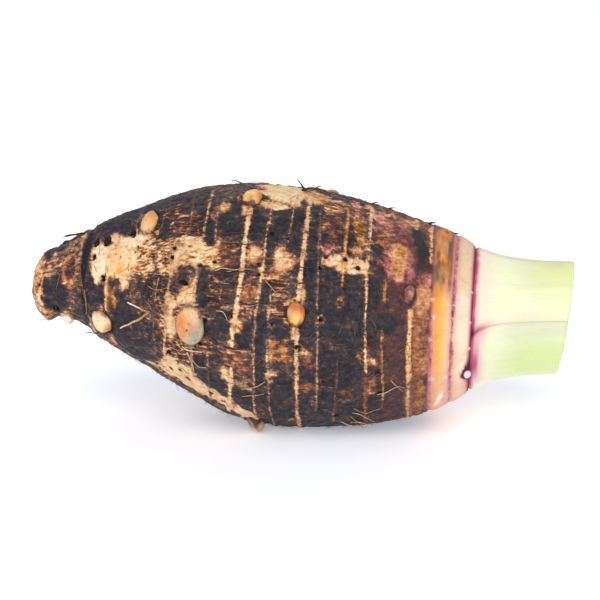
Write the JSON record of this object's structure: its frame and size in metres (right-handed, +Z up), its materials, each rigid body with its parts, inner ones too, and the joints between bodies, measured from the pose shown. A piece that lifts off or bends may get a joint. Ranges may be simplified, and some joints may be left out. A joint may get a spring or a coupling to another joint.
{
  "type": "taro root",
  "caption": "Whole taro root lying on its side: a ringed, spindle-shaped corm with side buds and a short stub of cut leaf stalks.",
  "frame": {"origin": "middle of the footprint box, on the surface that the root rests on", "axes": "+X from the blunt root tip towards the cut leaf stalks, +Y towards the back, +Z up"},
  "size_m": [0.2166, 0.1066, 0.099],
  "materials": {
    "corm_bark": "dry, corky and fibrous, with cream leaf-scar rings",
    "leaf_stalk": "smooth, moist and satin",
    "bud_scale": "smooth, slightly waxy",
    "rootlet": "dry and matte"
  },
  "bodies": {
    "root": {"corm": "corm_bark", "outer_leaf_stalk": "leaf_stalk", "inner_leaf_stalk": "leaf_stalk", "heart_leaf_stalk": "leaf_stalk", "forked_rootlet": "rootlet", "side_bud_01": "bud_scale", "side_bud_02": "bud_scale", "side_bud_03": "bud_scale", "side_bud_04": "bud_scale", "side_bud_05": "bud_scale", "side_bud_06": "bud_scale", "side_bud_07": "bud_scale", "side_bud_08": "bud_scale", "side_bud_09": "bud_scale", "side_bud_10": "bud_scale", "side_bud_11": "bud_scale", "side_bud_12": "bud_scale", "side_bud_13": "bud_scale", "side_bud_14": "bud_scale", "side_bud_15": "bud_scale", "side_bud_16": "bud_scale"}
  },
  "joints": []
}
